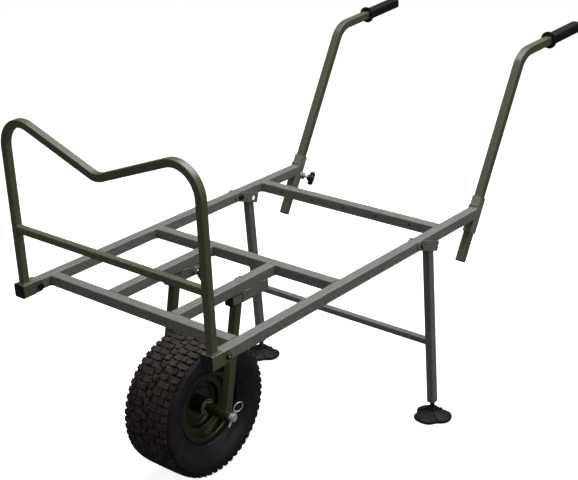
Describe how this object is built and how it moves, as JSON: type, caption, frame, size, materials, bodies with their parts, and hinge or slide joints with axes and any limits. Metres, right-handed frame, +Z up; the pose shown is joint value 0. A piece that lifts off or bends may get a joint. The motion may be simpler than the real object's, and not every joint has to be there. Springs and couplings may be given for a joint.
{
  "type": "fishing barrow",
  "caption": "Barrow for fishing tackle: a square-tube deck over a wide turf tyre, with folding rear legs on ball feet, a folding load bar in front and pull-out handles.",
  "frame": {"origin": "middle of the ground under the barrow: the centre of its bounding box, on its underside", "axes": "+Z up; the wheel and load bar are toward -Y and the handles toward +Y, so +Y runs back along the barrow's length; +X is the barrow's left"},
  "size_m": [0.666, 1.4294, 0.9229],
  "materials": {
    "frame_paint": "satin grey-olive paint",
    "bar_paint": "semi-gloss olive green paint",
    "rim_paint": "gloss dark olive paint",
    "black_plastic": "matt black moulding",
    "black_rubber": "matt black rubber",
    "tyre_rubber": "matt black-brown tread rubber",
    "bright_steel": "bright zinc plate",
    "black_steel": "blackened steel"
  },
  "bodies": {
    "frame": {"front_crossbar": "frame_paint", "middle_crossbar": "frame_paint", "rear_crossbar": "frame_paint", "side_rail_left": "frame_paint", "side_rail_right": "frame_paint", "inner_rail_left": "frame_paint", "inner_rail_right": "frame_paint", "handle_sleeve_left": "frame_paint", "handle_sleeve_right": "frame_paint", "fork_receiver_left": "frame_paint", "fork_receiver_right": "frame_paint", "load_bar_bolt_left": "black_steel", "load_bar_bolt_right": "black_steel", "leg_bolt_left": "black_steel", "leg_bolt_right": "black_steel"},
    "load_bar": {"load_bar_hoop": "bar_paint", "load_bar_crossbar": "bar_paint", "load_bar_base_left": "bar_paint", "load_bar_base_right": "bar_paint", "load_bar_cap_left": "black_plastic", "load_bar_cap_right": "black_plastic"},
    "legs": {"leg_bracket_left": "frame_paint", "leg_bracket_right": "frame_paint", "leg_tube_left": "frame_paint", "leg_tube_right": "frame_paint", "leg_brace": "frame_paint", "foot_stem_left": "black_plastic", "foot_stem_right": "black_plastic"},
    "foot_left": {"foot_left": "black_rubber"},
    "foot_right": {"foot_right": "black_rubber"},
    "fork": {"fork_arm_left": "frame_paint", "fork_arm_right": "frame_paint", "fork_cap_left": "black_plastic", "fork_cap_right": "black_plastic", "fork_leg_left": "frame_paint", "fork_leg_right": "frame_paint", "axle": "bright_steel", "fork_sleeve_left": "frame_paint", "fork_sleeve_right": "frame_paint"},
    "wheel": {"tyre": "tyre_rubber", "rim": "rim_paint", "hub": "rim_paint", "bearing_left": "bright_steel", "bearing_right": "bright_steel", "valve_stem": "black_rubber"},
    "lynch_pin": {"lynch_pin": "bright_steel"},
    "lynch_ring": {"lynch_pin_ring": "bright_steel"},
    "handle_left": {"handle_tube_left": "bar_paint", "handle_plug_left": "black_plastic", "grip_left": "black_rubber"},
    "handle_right": {"handle_tube_right": "bar_paint", "handle_plug_right": "black_plastic", "grip_right": "black_rubber"},
    "handle_knob_left": {"handle_knob_left": "black_plastic"},
    "handle_knob_right": {"handle_knob_right": "black_plastic"},
    "fork_knob_left": {"fork_knob_left": "black_plastic"},
    "fork_knob_right": {"fork_knob_right": "black_plastic"}
  },
  "joints": [
    {"name": "load_bar_fold", "type": "hinge", "parent": "frame", "child": "load_bar", "pos_m": [0, -0.64753, 0.44185], "axis": [1, 0, 0], "range_deg": [-90, 0]},
    {"name": "legs_fold", "type": "hinge", "parent": "frame", "child": "legs", "pos_m": [0, 0.01772, 0.49025], "axis": [1, 0, 0], "range_deg": [-80, 0]},
    {"name": "foot_left_tilt", "type": "hinge", "parent": "legs", "child": "foot_left", "pos_m": [0.2845, 0.11962, 0.024], "axis": [1, 0, 0], "range_deg": [-12, 12]},
    {"name": "foot_right_tilt", "type": "hinge", "parent": "legs", "child": "foot_right", "pos_m": [-0.2845, 0.11962, 0.024], "axis": [1, 0, 0], "range_deg": [-12, 12]},
    {"name": "fork_slide", "type": "slide", "parent": "frame", "child": "fork", "axis": [0, -0.9974, -0.0726], "range_m": [0, 0.115]},
    {"name": "wheel_spin", "type": "hinge", "parent": "fork", "child": "wheel", "pos_m": [0, -0.43824, 0.163], "axis": [1, 0, 0], "continuous": true},
    {"name": "lynch_pin_pull", "type": "slide", "parent": "fork", "child": "lynch_pin", "axis": [0, 0.5569, 0.8306], "range_m": [0, 0.045]},
    {"name": "lynch_ring_swing", "type": "hinge", "parent": "lynch_pin", "child": "lynch_ring", "pos_m": [0.117, -0.43084, 0.17405], "axis": [0, 0.8306, -0.5569], "range_deg": [-14, 136]},
    {"name": "handle_left_slide", "type": "slide", "parent": "frame", "child": "handle_left", "axis": [0, 0.4358, 0.9], "range_m": [-0.15, 0.07]},
    {"name": "handle_right_slide", "type": "slide", "parent": "frame", "child": "handle_right", "axis": [0, 0.4358, 0.9], "range_m": [-0.15, 0.07]},
    {"name": "handle_knob_left_turn", "type": "hinge", "parent": "frame", "child": "handle_knob_left", "pos_m": [0.2845, 0.26157, 0.49626], "axis": [-0.7071, 0.6364, -0.3082], "range_deg": [0, 360]},
    {"name": "handle_knob_right_turn", "type": "hinge", "parent": "frame", "child": "handle_knob_right", "pos_m": [-0.2845, 0.26157, 0.49626], "axis": [0.7071, 0.6364, -0.3082], "range_deg": [0, 360]},
    {"name": "fork_knob_left_turn", "type": "hinge", "parent": "frame", "child": "fork_knob_left", "pos_m": [0.095, -0.34449, 0.43853], "axis": [-1, 0, 0], "range_deg": [0, 360]},
    {"name": "fork_knob_right_turn", "type": "hinge", "parent": "frame", "child": "fork_knob_right", "pos_m": [-0.095, -0.34449, 0.43853], "axis": [1, 0, 0], "range_deg": [0, 360]}
  ]
}
